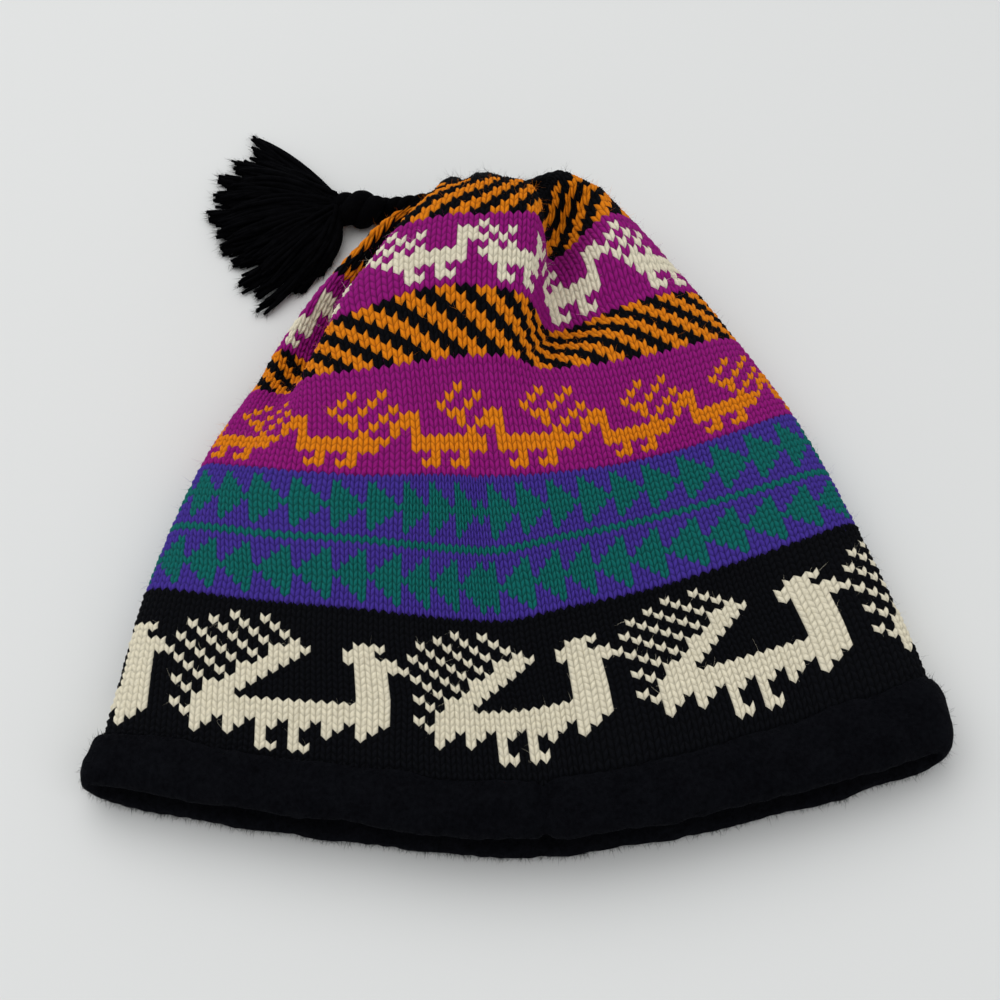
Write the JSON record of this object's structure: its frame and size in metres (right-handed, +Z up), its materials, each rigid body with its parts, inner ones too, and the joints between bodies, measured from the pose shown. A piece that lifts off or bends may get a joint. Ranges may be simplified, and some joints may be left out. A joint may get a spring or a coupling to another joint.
{
  "type": "knitted beanie with rolled edge and tassel",
  "caption": "Knitted wool beanie lying flat: hollow patterned crown with folds gathered at the top, soft rolled fleece edge round the open mouth, and a yarn tassel on a short cord",
  "frame": {"origin": "centre of the base of the box round the lying hat, on the surface that it lies on", "axes": "+Z up, +Y from the mouth to the gathered top, -X the side where the tassel lies"},
  "size_m": [0.2463, 0.2801, 0.056],
  "materials": {
    "knit_wool": "stranded two-colour knit in wool, matt with a fine halo of fibres",
    "fleece": "short napped black fleece, matt",
    "tassel_yarn": "loose black wool yarn, matt"
  },
  "bodies": {
    "root": {"knit_crown": "knit_wool", "fleece_brim": "fleece", "tassel_cord": "tassel_yarn", "tassel_knot": "tassel_yarn", "tassel": "tassel_yarn"}
  },
  "joints": []
}
